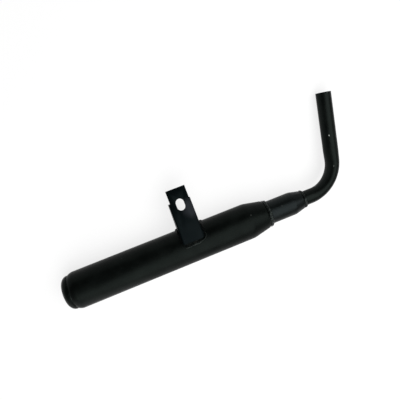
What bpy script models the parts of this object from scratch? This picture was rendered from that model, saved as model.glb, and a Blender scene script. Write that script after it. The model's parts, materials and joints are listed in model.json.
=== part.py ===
"""Racing exhaust: a bent header, a stepped expansion tube and a packed silencer with a mounting bracket.

Design frame: the silencer's axis is +X with the shell's tail edge at X = 0, and the header bends in the
XY plane towards +Y. At the end the whole assembly is rolled about that axis and moved, so that it lies on
Z = 0 on its shell and its inlet end, with the origin under the middle of its bounding box.
"""

from math import acos, asin, atan2, cos, pi, radians, sin, sqrt

import bmesh
import bpy
from mathutils import Vector

MM = 0.001
FIT_GAP = 0.3 * MM  # clearance between pieces that are pushed together or welded

# Silencer shell: a tube with its tail rolled in and its nose swaged down to a cone
SHELL_RADIUS = 30.0 * MM
SHELL_WALL = 1.5 * MM
SHELL_STRAIGHT_END = 302.5 * MM
TAIL_ROLL_LENGTH = 9.0 * MM
TAIL_ROLL_DROP = 2.9 * MM
CONE_LENGTH = 28.5 * MM
CONE_END_RADIUS = 24.0 * MM
CONE_BLEND_RADIUS = 30.0 * MM
SHELL_NOSE_ROLL = 4.0 * MM

# Expansion tube: pushed into the shell's nose, with a swaged nose of its own
EXPANSION_RADIUS = 19.6 * MM
EXPANSION_WALL = 1.5 * MM
EXPANSION_OVERLAP = 14.0 * MM  # hidden length inside the shell's nose
EXPANSION_STRAIGHT = 49.0 * MM  # visible length before the taper
TAPER_LENGTH = 16.0 * MM
TAPER_END_RADIUS = 15.8 * MM
TAPER_BLEND_RADIUS = 15.0 * MM
EXPANSION_NOSE_ROLL = 2.5 * MM

# Header pipe: pushed into the expansion tube's nose, then one bend and a straight leg to the engine
HEADER_RADIUS = 12.5 * MM
HEADER_WALL = 1.5 * MM
HEADER_OVERLAP = 12.0 * MM  # hidden length inside the expansion tube
HEADER_STRAIGHT = 19.0 * MM  # visible length before the bend
BEND_RADIUS = 54.5 * MM
BEND_ANGLE = radians(80.8)
LEG_LENGTH = 112.0 * MM
BEND_FLATTENING = 0.14  # largest loss of width in the plane of the bend
FLATTENING_RUN = 15.0 * MM  # length of the leg over which the flattening dies out

# Tail cap: a pressed dish with a skirt in the shell's tail and a collar for the core
CAP_WALL = 1.5 * MM
CAP_SKIRT_LENGTH = 9.0 * MM
CAP_GROOVE = 2.0 * MM  # width of the weld groove between the shell's edge and the cap's rim
CAP_DOME_LENGTH = 11.2 * MM
OUTLET_RADIUS = 9.8 * MM
OUTLET_LIP_RADIUS = 2.5 * MM
OUTLET_COLLAR_LENGTH = 20.0 * MM

# Core: a perforated tube over the cap's collar, with a sleeve that joins it to the expansion tube
CORE_WALL = 1.0 * MM
CORE_TAIL_GAP = 5.0 * MM  # from the cap's face to the core's end
CORE_ROWS = 9
CORE_HOLES_ROUND = 5
CORE_HOLE_RADIUS = 4.0 * MM
SLEEVE_WALL = 1.2 * MM
SLEEVE_SEAT = 12.0 * MM  # length of each of the sleeve's two seats
SLEEVE_STEP = 5.0 * MM

# Baffles, and the packing that they hold round the core
BAFFLE_WALL = 1.5 * MM
BAFFLE_FLANGE = 6.0 * MM
BAFFLE_BEND_RADIUS = 1.0 * MM
REAR_BAFFLE_X = 14.0 * MM
FRONT_BAFFLE_SETBACK = 2.0 * MM  # behind the start of the shell's cone
WOOL_THICKNESS = 3.5 * MM

# Bracket: a channel with coped side flanges, which narrows to a slotted tab
BRACKET_X = 204.5 * MM
BRACKET_ROLL = radians(-8.3)  # from the plane of the bend, about the silencer's axis
BRACKET_WALL = 2.5 * MM
BRACKET_WIDTH = 36.2 * MM
BRACKET_INNER_BEND = 0.7 * MM
BRACKET_BOTTOM = 7.0 * MM  # heights along the plate, from the silencer's axis
BRACKET_SHOULDER = 74.0 * MM
BRACKET_TOP = 94.5 * MM
TAB_WIDTH = 31.5 * MM
TAB_OFFSET = 0.6 * MM  # towards the header, from the middle of the channel
SLOT_CENTRE = 67.8 * MM
SLOT_WIDTH = 13.2 * MM
SLOT_LENGTH = 18.9 * MM
FLANGE_DEPTH_AT_SHOULDER = 7.0 * MM
FLANGE_FOOT_ANGLE = radians(8.0)  # where the flanges end on the shell, behind its outer side
PLATE_CORNER_RADIUS = 5.0 * MM  # of the plate's lower corner on the header's side
CUT_MARGIN = 5.0 * MM  # by which a cutter reaches past what it cuts

# Weld beads
BEAD_BULGE = 0.8 * MM
TAIL_BEAD_DEPTH = 0.8 * MM  # of the bead's edges, below the shell's tail edge
BEAD_RIPPLE = 0.22  # share by which the bulge rises and falls along a bead
SHELL_BEAD_LEG = 7.0 * MM
HEADER_BEAD_LEG = 4.5 * MM
SLEEVE_BEAD_LEG = 2.4 * MM
PLATE_BEAD_RISE = 1.0 * MM  # up the plate's cut edge
PLATE_BEAD_REACH = 6.0 * MM  # over the shell
FLANGE_BEAD_RISE = 3.0 * MM
TAIL_SIDE_REACH = 4.5 * MM  # over the shell, from the flange on the tail's side
HEADER_SIDE_REACH = 8.0 * MM
RIPPLE_PITCH = 6.0 * MM
BEAD_END_SHARE = 0.55  # of its full size, at each end of an open bead

# Facets round each piece
SHELL_SIDES = 36
TUBE_SIDES = 32
HEADER_SIDES = 24
BEND_STEPS = 11
INNER_SIDES = 24
SHARP_ANGLE = radians(35)  # between facets, above which an edge shows

BLACK_PAINT = ("heat_resistant_black", (0.018, 0.02, 0.022), 0.45, 0.25)
PAINTED_WELD = ("painted_weld", (0.02, 0.022, 0.024), 0.4, 0.3)
BARE_STEEL = ("bare_steel", (0.42, 0.42, 0.41), 0.38, 1.0)
STEEL_WOOL = ("steel_wool", (0.35, 0.35, 0.36), 0.7, 0.8)
GLASS_FIBRE = ("glass_fibre", (0.85, 0.82, 0.62), 0.95, 0.0)


def clear_scene():
    """Removes every object that the file started with."""
    for obj in list(bpy.data.objects):
        bpy.data.objects.remove(obj, do_unlink=True)


def material(finish):
    """The material of a finish, given as name, colour, roughness and metallic value."""
    name, colour, roughness, metallic = finish
    made = bpy.data.materials.get(name)
    if made is None:
        made = bpy.data.materials.new(name)
        made.use_nodes = True
        shader = made.node_tree.nodes["Principled BSDF"]
        shader.inputs["Base Color"].default_value = (*colour, 1.0)
        shader.inputs["Roughness"].default_value = roughness
        shader.inputs["Metallic"].default_value = metallic
    return made


def add_piece(name, bm, finish, parent):
    """Turns a bmesh into a named, smooth-shaded object with its finish, under its parent empty."""
    bmesh.ops.recalc_face_normals(bm, faces=bm.faces)
    mesh = bpy.data.meshes.new(name)
    bm.to_mesh(mesh)
    bm.free()
    mesh.shade_smooth()
    mesh.set_sharp_from_angle(angle=SHARP_ANGLE)
    mesh.materials.append(material(finish))
    obj = bpy.data.objects.new(name, mesh)
    bpy.context.scene.collection.objects.link(obj)
    obj.parent = parent
    return obj


def add_empty(name, parent=None):
    """An empty that carries pieces."""
    empty = bpy.data.objects.new(name, None)
    bpy.context.scene.collection.objects.link(empty)
    empty.parent = parent
    return empty


# ---------------------------------------------------------------- profiles in the (x, radius) plane


def arc(centre, radius, start, end, steps):
    """Points on an arc, with angles in radians from +x towards +radius."""
    angles = (start + (end - start) * i / steps for i in range(steps + 1))
    return [(centre[0] + radius * cos(a), centre[1] + radius * sin(a)) for a in angles]


def blend(before, corner, after, radius, steps):
    """The corner between two straight runs, replaced by an arc that is tangent to both."""
    into = (Vector(corner) - Vector(before)).normalized()
    out = (Vector(after) - Vector(corner)).normalized()
    turn = into.angle(out)
    side = 1.0 if into.cross(out) > 0 else -1.0
    start = Vector(corner) - into * radius * sin(turn / 2) / cos(turn / 2)
    centre = start + Vector((-into.y, into.x)) * side * radius
    first = atan2(start.y - centre.y, start.x - centre.x)
    return arc(centre, radius, first, first + side * turn, steps)


def offset(points, distance):
    """An open profile moved sideways by a distance, to its left seen along its direction."""
    moved = []
    for i, point in enumerate(points):
        here = Vector(point)
        before = (here - Vector(points[i - 1])).normalized() if i else None
        after = (Vector(points[i + 1]) - here).normalized() if i + 1 < len(points) else None
        into = before or after
        out = after or before
        normal = Vector((-into.y - out.y, into.x + out.x)).normalized()
        half = into.angle(out) / 2
        moved.append(tuple(here + normal * distance / cos(half)))
    return moved


def sheet(outer, wall):
    """The closed section of a sheet of one thickness: an outer profile and its inner side.

    The outer profile runs towards +x where it faces away from the axis.
    """
    return outer + offset(outer, -wall)[::-1]


def clear_of(section, radius):
    """A section with nothing closer to the axis than the radius of what passes through it."""
    return [(x, max(height, radius)) for x, height in section]


def revolve(name, section, sides, finish, parent):
    """A closed (x, radius) section turned about the X axis."""
    bm = bmesh.new()
    verts = [bm.verts.new((x, radius, 0.0)) for x, radius in section]
    edges = [bm.edges.new((verts[i - 1], verts[i])) for i in range(len(verts))]
    bmesh.ops.spin(
        bm,
        geom=verts + edges,
        cent=(0, 0, 0),
        axis=(1, 0, 0),
        angle=2 * pi,
        steps=sides,
        use_merge=True,
    )
    bmesh.ops.remove_doubles(bm, verts=bm.verts, dist=0.01 * MM)
    return add_piece(name, bm, finish, parent)


# ---------------------------------------------------------------- lofts and weld beads


def loft(bm, loops, closed):
    """Skins a row of vertex loops with quads, joined end to end if closed and capped if not."""
    rows = [[bm.verts.new(point) for point in loop] for loop in loops]
    pairs = list(zip(rows, rows[1:]))
    if closed:
        pairs.append((rows[-1], rows[0]))
    for first, second in pairs:
        for i in range(len(first)):
            bm.faces.new((first[i - 1], first[i], second[i], second[i - 1]))
    if not closed:
        bm.faces.new(rows[0][::-1])
        bm.faces.new(rows[-1])
    return rows


def bead_section(seat, bulge, steps=3):
    """A weld bead's section: the points it seats on, then a crowned face back to the first of them."""
    start, end = Vector(seat[-1]), Vector(seat[0])
    along = (end - start).normalized()
    away = (start + end) / 2 - sum((Vector(point) for point in seat), start * 0) / len(seat)
    across = (away - along * away.dot(along)).normalized()
    crown = []
    for i in range(1, steps + 1):
        t = i / (steps + 1)
        crown.append(start.lerp(end, t) + across * bulge * 4 * t * (1 - t))
    return [Vector(point) for point in seat] + crown


def ripple(distance):
    """The share of its mean bulge that a bead has at a distance along it."""
    return 1.0 + BEAD_RIPPLE * cos(2 * pi * distance / RIPPLE_PITCH)


def ring_bead(name, seat, radius, finish, parent):
    """A rippled bead all the way round the axis, seated on an (x, radius) profile."""
    ripples = max(10, round(2 * pi * radius / RIPPLE_PITCH))
    stations = 2 * ripples
    loops = []
    for i in range(stations):
        turn = 2 * pi * i / stations
        section = bead_section(seat, BEAD_BULGE * (1 + BEAD_RIPPLE * cos(ripples * turn)))
        loops.append([(x, r * cos(turn), r * sin(turn)) for x, r in section])
    bm = bmesh.new()
    loft(bm, loops, closed=True)
    return add_piece(name, bm, finish, parent)


def open_bead(name, seats, finish, parent):
    """A rippled bead along a row of seats. Each seat is a list of points, from the crest to the toe."""
    loops = []
    travelled = 0.0
    for i, seat in enumerate(seats):
        root = seat[1]
        if i:
            travelled += (root - seats[i - 1][1]).length
        share = BEAD_END_SHARE if i in (0, len(seats) - 1) else 1.0
        narrowed = [root.lerp(point, share) for point in seat]
        loops.append(bead_section(narrowed, BEAD_BULGE * share * ripple(travelled)))
    bm = bmesh.new()
    loft(bm, loops, closed=False)
    return add_piece(name, bm, finish, parent)


# ---------------------------------------------------------------- silencer shell and tail


def shell_cone():
    """The ends of the straight line that the shell's cone follows."""
    start = (SHELL_STRAIGHT_END, SHELL_RADIUS)
    return start, (SHELL_STRAIGHT_END + CONE_LENGTH, CONE_END_RADIUS)


def nose_roll(cone, radius, opening):
    """The rolled edge after a cone, down to the radius of the opening that it leaves."""
    start, end = (Vector(point) for point in cone)
    slope = atan2(start.y - end.y, end.x - start.x)
    top = pi / 2 - slope
    centre = end - Vector((cos(top), sin(top))) * radius
    reach = (opening - centre.y) / radius
    bottom = asin(max(-1.0, min(1.0, reach)))
    rolled = arc(centre, radius, top, bottom, 3)
    if reach < -1.0:
        rolled.append((rolled[-1][0], opening))
    return rolled


def shell_shoulder():
    """The arc between the shell's straight tube and its cone."""
    cone = shell_cone()
    return blend((0.0, SHELL_RADIUS), cone[0], cone[1], CONE_BLEND_RADIUS, 3)


def shell_nose():
    """The rolled edge of the shell, round the expansion tube."""
    return nose_roll(shell_cone(), SHELL_NOSE_ROLL, EXPANSION_RADIUS + FIT_GAP)


def shell_outline():
    """The shell's outer profile, from its tail edge to its nose."""
    drop, length = TAIL_ROLL_DROP, TAIL_ROLL_LENGTH
    roll_radius = (length**2 + drop**2) / (2 * drop)
    roll_centre = (length, SHELL_RADIUS - roll_radius)
    tail = arc(roll_centre, roll_radius, pi - acos(length / roll_radius), pi / 2, 4)
    return tail + shell_shoulder() + shell_nose()


def build_shell(parent):
    """The silencer's outer tube."""
    section = clear_of(sheet(shell_outline(), SHELL_WALL), EXPANSION_RADIUS + FIT_GAP)
    revolve("silencer_shell", section, SHELL_SIDES, BLACK_PAINT, parent)


def tail_edge_radius():
    """The outer radius of the shell's rolled tail edge, which the cap's rim lines up with."""
    return SHELL_RADIUS - TAIL_ROLL_DROP


def cap_face_x():
    """The X of the tail cap's outer face."""
    return -CAP_GROOVE - CAP_DOME_LENGTH


def cap_skirt_radius():
    """The outer radius of the cap's skirt, which fits inside the shell's rolled tail."""
    return tail_edge_radius() - SHELL_WALL - FIT_GAP


def cap_outline():
    """The cap's outer profile: collar, turned lip, elliptical dome, and a step down to the skirt."""
    lip_centre = (cap_face_x() + OUTLET_LIP_RADIUS, OUTLET_RADIUS + OUTLET_LIP_RADIUS)
    lip = arc(lip_centre, OUTLET_LIP_RADIUS, 3 * pi / 2, pi, 3)
    height = tail_edge_radius() - lip_centre[1]
    steps = 6
    dome = []
    for i in range(1, steps + 1):
        turn = pi - pi / 2 * i / steps
        dome.append((-CAP_GROOVE + CAP_DOME_LENGTH * cos(turn), lip_centre[1] + height * sin(turn)))
    skirt = [(-CAP_GROOVE, cap_skirt_radius()), (CAP_SKIRT_LENGTH, cap_skirt_radius())]
    return [(cap_face_x() + OUTLET_COLLAR_LENGTH, OUTLET_RADIUS)] + lip + dome + skirt


def build_tail_cap(parent):
    """The dished cap, and the bead in the groove between it and the shell."""
    revolve("tail_cap", sheet(cap_outline(), CAP_WALL), SHELL_SIDES, BLACK_PAINT, parent)
    bottom = cap_skirt_radius() + FIT_GAP
    top = tail_edge_radius() - TAIL_BEAD_DEPTH
    low, high = -CAP_GROOVE + FIT_GAP, -FIT_GAP
    seat = [(high, top), (high, bottom), (low, bottom), (low, top)]
    ring_bead("tail_weld", seat, top, PAINTED_WELD, parent)


# ---------------------------------------------------------------- expansion tube and header


def expansion_start_x():
    """The X of the expansion tube's hidden end, inside the shell."""
    return shell_nose()[-1][0] - EXPANSION_OVERLAP


def expansion_taper():
    """The ends of the straight line that the expansion tube's swaged nose follows."""
    start_x = shell_nose()[-1][0] + EXPANSION_STRAIGHT
    return (start_x, EXPANSION_RADIUS), (start_x + TAPER_LENGTH, TAPER_END_RADIUS)


def expansion_nose():
    """The rolled edge of the expansion tube, round the header."""
    return nose_roll(expansion_taper(), EXPANSION_NOSE_ROLL, HEADER_RADIUS + FIT_GAP)


def build_expansion_tube(parent):
    """The middle tube, and the bead that joins it to the shell's nose."""
    taper = expansion_taper()
    start = (expansion_start_x(), EXPANSION_RADIUS)
    shoulder = blend(start, taper[0], taper[1], TAPER_BLEND_RADIUS, 3)
    section = sheet([start] + shoulder + expansion_nose(), EXPANSION_WALL)
    section = clear_of(section, HEADER_RADIUS + FIT_GAP)
    revolve("expansion_tube", section, TUBE_SIDES, BLACK_PAINT, parent)
    add_nose_bead("expansion_weld", shell_nose(), EXPANSION_RADIUS, SHELL_BEAD_LEG, parent)


def add_nose_bead(name, rolled, tube_radius, leg, parent):
    """A bead in the corner between a rolled nose and the tube that comes out of it."""
    clear = offset(rolled, FIT_GAP)
    floor = tube_radius + FIT_GAP
    seat = [point for point in clear[1:] if point[1] > floor + FIT_GAP]
    root = (rolled[-1][0] + FIT_GAP, floor)
    seat += [root, (root[0] + leg, floor)]
    ring_bead(name, seat, tube_radius, PAINTED_WELD, parent)


def header_visible_x():
    """The X at which the header comes out of the expansion tube's nose."""
    return expansion_nose()[-1][0]


def width_kept(distance):
    """The share of its width that the pipe keeps in the bend's plane, at a distance past its start."""
    share = distance / (BEND_RADIUS * BEND_ANGLE + FLATTENING_RUN)
    return 1.0 - BEND_FLATTENING * sin(pi * share)


def header_stations():
    """Points along the header's centre line: (point, direction, share of width kept)."""
    bend_x = header_visible_x() + HEADER_STRAIGHT
    bend_length = BEND_RADIUS * BEND_ANGLE
    stations = [(Vector((header_visible_x() - HEADER_OVERLAP, 0, 0)), Vector((1, 0, 0)), 1.0)]
    for i in range(BEND_STEPS + 1):
        angle = BEND_ANGLE * i / BEND_STEPS
        point = Vector((bend_x + BEND_RADIUS * sin(angle), BEND_RADIUS * (1 - cos(angle)), 0))
        stations.append((point, Vector((cos(angle), sin(angle), 0)), width_kept(BEND_RADIUS * angle)))
    point, direction, _ = stations[-1]
    for run in (FLATTENING_RUN / 2, FLATTENING_RUN):
        stations.append((point + direction * run, direction, width_kept(bend_length + run)))
    stations.append((point + direction * LEG_LENGTH, direction, 1.0))
    return stations


def build_header(parent):
    """The bent pipe, flattened a little in its bend, and the bead at the expansion tube's nose."""
    outer, inner = [], []
    for point, direction, kept in header_stations():
        side = Vector((direction.y, -direction.x, 0))
        for loops, radius in ((outer, HEADER_RADIUS), (inner, HEADER_RADIUS - HEADER_WALL)):
            across, tall = radius * kept, radius * (2 - kept)
            turns = [2 * pi * i / HEADER_SIDES for i in range(HEADER_SIDES)]
            loops.append([point + side * across * cos(t) + Vector((0, 0, tall * sin(t))) for t in turns])
    bm = bmesh.new()
    loft(bm, outer + inner[::-1], closed=True)
    add_piece("header_pipe", bm, BLACK_PAINT, parent)
    add_nose_bead("header_weld", expansion_nose(), HEADER_RADIUS, HEADER_BEAD_LEG, parent)


# ---------------------------------------------------------------- inside the silencer


def core_inner_radius():
    """The core slides over the cap's collar."""
    return OUTLET_RADIUS + CAP_WALL + FIT_GAP


def core_radius():
    """The core's outer radius."""
    return core_inner_radius() + CORE_WALL


def sleeve_start_x():
    """The X of the sleeve's tail end, which its two seats and its step fill up to the tube."""
    return expansion_start_x() - SLEEVE_STEP - SLEEVE_SEAT


def perforated_sheet(start_x, end_x):
    """A flat sheet with staggered rows of round holes, as a bmesh whose Y is the angle round the tube."""
    columns = 4 * CORE_HOLES_ROUND  # quarter pitches, so that staggered rows share their corners
    step_round = 2 * pi / columns
    step_x = (end_x - start_x) / (2 * CORE_ROWS + 2)
    bm = bmesh.new()
    grid = [
        [bm.verts.new((start_x + step_x * line, step_round * column, 0.0)) for column in range(columns)]
        for line in range(2 * CORE_ROWS + 3)
    ]

    def corner(line, column):
        return grid[line][column % columns]

    for line in (0, 2 * CORE_ROWS + 1):
        for column in range(columns):
            near = (corner(line, column), corner(line, column + 1))
            bm.faces.new((*near, corner(line + 1, column + 1), corner(line + 1, column)))
    for row in range(CORE_ROWS):
        low = 2 * row + 1
        for hole in range(CORE_HOLES_ROUND):
            first = 4 * hole + 2 * (row % 2)
            rim = [corner(low + i, first) for i in range(3)]
            rim += [corner(low + 2, first + i) for i in range(1, 5)]
            rim += [corner(low + 1, first + 4)]
            rim += [corner(low, first + i) for i in range(4, 0, -1)]
            edge = []
            for i in range(len(rim)):
                angle = radians(240) + 2 * pi * i / len(rim)
                x = start_x + step_x * (low + 1) + CORE_HOLE_RADIUS * cos(angle)
                turn = step_round * (first + 2) + CORE_HOLE_RADIUS * sin(angle) / core_radius()
                edge.append(bm.verts.new((x, turn, 0.0)))
            for i in range(len(rim)):
                bm.faces.new((rim[i - 1], rim[i], edge[i], edge[i - 1]))
    return bm


def build_core(parent):
    """The perforated tube, rolled from its sheet and given its wall."""
    start_x = cap_face_x() + CORE_TAIL_GAP
    end_x = sleeve_start_x() + SLEEVE_SEAT
    bm = perforated_sheet(start_x, end_x)
    radius = core_radius()
    for vert in bm.verts:
        turn = vert.co.y
        vert.co = Vector((vert.co.x, radius * cos(turn), radius * sin(turn)))
    core = add_piece("core_tube", bm, BARE_STEEL, parent)
    wall = core.modifiers.new("wall", "SOLIDIFY")
    wall.thickness = CORE_WALL
    wall.offset = -1.0
    wall.use_even_offset = True


def build_sleeve(parent):
    """The stepped sleeve between the core and the expansion tube, and its two beads."""
    small = core_radius() + FIT_GAP + SLEEVE_WALL
    large = EXPANSION_RADIUS - EXPANSION_WALL - FIT_GAP
    start = sleeve_start_x()
    step = start + SLEEVE_SEAT
    outline = [(start, small), (step, small), (step + SLEEVE_STEP, large)]
    outline.append((expansion_start_x() + SLEEVE_SEAT, large))
    section = sheet(outline, SLEEVE_WALL)
    revolve("core_sleeve", section, INNER_SIDES, BARE_STEEL, parent)
    add_step_bead("core_weld", start, core_radius(), parent)
    add_step_bead("sleeve_weld", expansion_start_x(), large, parent)


def add_step_bead(name, face_x, tube_radius, parent):
    """A bead on a tube, against the tail-side end face of a piece round it."""
    x = face_x - FIT_GAP
    floor = tube_radius + FIT_GAP
    seat = [(x - SLEEVE_BEAD_LEG, floor), (x, floor), (x, floor + SLEEVE_BEAD_LEG / 2)]
    ring_bead(name, seat, tube_radius, BARE_STEEL, parent)


def build_baffle(name, plate_x, facing, parent):
    """A disc that carries the core, with a flange turned against the shell, on its facing side."""
    outer = SHELL_RADIUS - SHELL_WALL - FIT_GAP
    inner = core_radius() + FIT_GAP
    bend = BAFFLE_BEND_RADIUS
    section = [(0.0, inner)] + arc((bend, outer - bend), bend, pi, pi / 2, 3)
    section += [(BAFFLE_FLANGE, outer), (BAFFLE_FLANGE, outer - BAFFLE_WALL)]
    section += [(BAFFLE_WALL, outer - BAFFLE_WALL), (BAFFLE_WALL, inner)]
    placed = [(plate_x + facing * x, radius) for x, radius in section]
    revolve(name, placed, INNER_SIDES, BARE_STEEL, parent)


def build_inside(parent):
    """The core with its sleeve, the two baffles and the packing between them."""
    build_core(parent)
    build_sleeve(parent)
    front_x = shell_shoulder()[0][0] - FRONT_BAFFLE_SETBACK
    build_baffle("rear_baffle", REAR_BAFFLE_X, 1, parent)
    build_baffle("front_baffle", front_x, -1, parent)
    packing_start = REAR_BAFFLE_X + BAFFLE_FLANGE + FIT_GAP
    packing_end = front_x - BAFFLE_FLANGE - FIT_GAP
    core = core_radius() + FIT_GAP
    wool = core + WOOL_THICKNESS
    shell = SHELL_RADIUS - SHELL_WALL - FIT_GAP
    for name, low, high, finish in (
        ("steel_wool_wrap", core, wool, STEEL_WOOL),
        ("fibre_packing", wool + FIT_GAP, shell, GLASS_FIBRE),
    ):
        corners = [(packing_start, low), (packing_start, high), (packing_end, high), (packing_end, low)]
        revolve(name, corners, INNER_SIDES, finish, parent)


# ---------------------------------------------------------------- bracket


def prism(name, outline, start, end, axis, parent):
    """A closed outline pushed along one axis. Its two numbers are the other two axes, in order."""

    def place(pair, along):
        values = list(pair)
        values.insert("XYZ".index(axis), along)
        return values

    bm = bmesh.new()
    loft(bm, [[place(pair, along) for pair in outline] for along in (start, end)], closed=False)
    bmesh.ops.recalc_face_normals(bm, faces=bm.faces)
    mesh = bpy.data.meshes.new(name)
    bm.to_mesh(mesh)
    bm.free()
    obj = bpy.data.objects.new(name, mesh)
    bpy.context.scene.collection.objects.link(obj)
    obj.parent = parent
    return obj


def cut(target, cutter):
    """Takes a cutter out of a piece, and hides the cutter."""
    cutter.hide_render = True
    cutter.display_type = "WIRE"
    boolean = target.modifiers.new(cutter.name, "BOOLEAN")
    boolean.operation = "DIFFERENCE"
    boolean.solver = "EXACT"
    boolean.object = cutter


def bracket_face_z():
    """The height of the plate's outer face above the silencer's axis."""
    return SHELL_RADIUS + FIT_GAP + BRACKET_WALL


def channel_outline():
    """The channel's section in (x, z): a face with two flanges, bent round an inner radius."""
    half = BRACKET_WIDTH / 2
    top = bracket_face_z()
    inner = BRACKET_INNER_BEND
    outer = inner + BRACKET_WALL
    foot = -SHELL_RADIUS
    section = [(half - BRACKET_WALL, foot), (half, foot)]
    section += arc((half - outer, top - outer), outer, 0.0, pi / 2, 4)
    section += arc((outer - half, top - outer), outer, pi / 2, pi, 4)
    section += [(-half, foot), (BRACKET_WALL - half, foot)]
    section += arc((outer - half, top - outer), inner, pi, pi / 2, 2)
    section += arc((half - outer, top - outer), inner, pi / 2, 0.0, 2)
    return section


def slot_outline():
    """The slot in (x, y), with round ends."""
    radius = SLOT_WIDTH / 2
    reach = SLOT_LENGTH / 2 - radius
    upper = arc((0.0, SLOT_CENTRE + reach), radius, 0.0, pi, 10)
    return upper + arc((0.0, SLOT_CENTRE - reach), radius, pi, 2 * pi, 10)


def build_bracket(parent):
    """The bracket in its own frame: X along the silencer, Y along the plate, Z out of its face."""
    top = bracket_face_z()
    half = BRACKET_WIDTH / 2
    bracket = prism("bracket", channel_outline(), BRACKET_BOTTOM, BRACKET_TOP, "Y", parent)
    bracket.data.materials.append(material(BLACK_PAINT))
    bracket.data.shade_smooth()
    bracket.data.set_sharp_from_angle(angle=SHARP_ANGLE)

    over = CUT_MARGIN
    above, back = top + over, -SHELL_RADIUS - over
    for side in (-1, 1):
        edges = sorted((TAB_OFFSET + side * TAB_WIDTH / 2, side * (half + over)))
        notch = [(edges[0], back), (edges[1], back), (edges[1], above), (edges[0], above)]
        notch_end = BRACKET_TOP + over
        cut(bracket, prism(f"tab_cutter_{side}", notch, BRACKET_SHOULDER, notch_end, "Y", parent))

    # The flanges' free edge runs from the shell's outer side to the shoulder, and the tab has no flanges
    foot_radius = SHELL_RADIUS + FIT_GAP
    foot = (foot_radius * cos(FLANGE_FOOT_ANGLE), -foot_radius * sin(FLANGE_FOOT_ANGLE))
    under = top - BRACKET_WALL
    wedge = [foot, (0.0, foot[1]), (0.0, back), (BRACKET_TOP + over, back), (BRACKET_TOP + over, under)]
    wedge += [(BRACKET_SHOULDER, under), (BRACKET_SHOULDER, top - FLANGE_DEPTH_AT_SHOULDER)]
    cut(bracket, prism("flange_cutter", wedge, -half - over, half + over, "X", parent))

    seat = arc((0.0, 0.0), SHELL_RADIUS + FIT_GAP, 0.0, 2 * pi, 2 * SHELL_SIDES)[:-1]
    cut(bracket, prism("shell_cutter", seat, -half - over, half + over, "X", parent))
    cut(bracket, prism("slot_cutter", slot_outline(), top - BRACKET_WALL - over, above, "Z", parent))
    corner = arc(*plate_corner(), -pi / 2, 0.0, 5)
    corner += [(half + over, corner[-1][1]), (half + over, -over), (corner[0][0], -over)]
    cut(bracket, prism("corner_cutter", corner, 0.0, above, "Z", parent))


def plate_corner():
    """The centre and the radius of the plate's rounded lower corner, in (x, y)."""
    radius = PLATE_CORNER_RADIUS
    return (BRACKET_WIDTH / 2 - radius, BRACKET_BOTTOM + radius), radius


def on_shell(x, y):
    """The point in the bracket's frame where a weld rests on the shell, at a place in the plate's plane."""
    radius = SHELL_RADIUS + FIT_GAP
    return Vector((x, y, sqrt(radius**2 - y**2)))


def plate_bead_seats():
    """The seats of the bead that runs under the plate and up round its rounded corner."""
    (centre_x, centre_y), radius = plate_corner()
    straight = centre_x + BRACKET_WIDTH / 2
    steps = 2 * round(straight / RIPPLE_PITCH)
    path = [(centre_x - straight * (1 - i / steps), -pi / 2) for i in range(steps)]
    turns = 4
    path += [(centre_x, -pi / 2 * (1 - i / turns)) for i in range(turns + 1)]
    seats = []
    for x, angle in path:
        out = (cos(angle), sin(angle))
        places = [radius + FIT_GAP + PLATE_BEAD_REACH * share for share in (0.0, 0.5, 1.0)]
        root, middle, toe = (on_shell(x + out[0] * far, centre_y + out[1] * far) for far in places)
        seats.append([root + Vector((0, 0, PLATE_BEAD_RISE)), root, middle, toe])
    return seats


def flange_bead_seats(side, reach):
    """The seats of the bead round the foot of one flange, on the side -1 (tail) or 1 (header)."""
    half = BRACKET_WIDTH / 2 + FIT_GAP
    radius = SHELL_RADIUS + FIT_GAP
    start_y = BRACKET_BOTTOM + (PLATE_CORNER_RADIUS if side > 0 else 0.0) + 2 * FIT_GAP
    first = asin(start_y / radius)
    sweep = pi / 2 + FLANGE_FOOT_ANGLE - first
    steps = 2 * round(radius * sweep / RIPPLE_PITCH)
    seats = []
    for i in range(steps + 1):
        angle = first + sweep * i / steps
        radial = Vector((0, sin(angle), cos(angle)))
        root = Vector((side * half, 0, 0)) + radial * radius
        seats.append([root + radial * FLANGE_BEAD_RISE, root, root + Vector((side * reach, 0, 0))])
    return seats


def build_bracket_beads(parent):
    """The beads that join the bracket to the shell, under its plate and at the foot of each flange."""
    open_bead("bracket_weld_front", plate_bead_seats(), PAINTED_WELD, parent)
    tail_side = flange_bead_seats(-1, TAIL_SIDE_REACH)
    open_bead("bracket_weld_tail_side", tail_side, PAINTED_WELD, parent)
    header_side = flange_bead_seats(1, HEADER_SIDE_REACH)
    open_bead("bracket_weld_header_side", header_side, PAINTED_WELD, parent)


# ---------------------------------------------------------------- placing the assembly


def resting_roll():
    """The roll at which the shell and the header's inlet rim both touch the floor."""
    point, direction, _ = header_stations()[-1]
    reach, rise = point.y, direction.y * HEADER_RADIUS
    a = reach**2 + rise**2
    b = SHELL_RADIUS * reach
    return asin((b - sqrt(b**2 - a * (SHELL_RADIUS**2 - HEADER_RADIUS**2))) / a)


def centre_on_floor(assembly):
    """Moves the assembly so that the middle of its bounding box's underside is the origin."""
    bpy.context.view_layer.update()
    graph = bpy.context.evaluated_depsgraph_get()
    corners = []
    for obj in assembly.children_recursive:
        if obj.type == "MESH" and not obj.hide_render:
            evaluated = obj.evaluated_get(graph)
            corners += [evaluated.matrix_world @ vert.co for vert in evaluated.data.vertices]
    low = Vector(min(corner[i] for corner in corners) for i in range(3))
    high = Vector(max(corner[i] for corner in corners) for i in range(3))
    assembly.location -= Vector(((low.x + high.x) / 2, (low.y + high.y) / 2, low.z))


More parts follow.
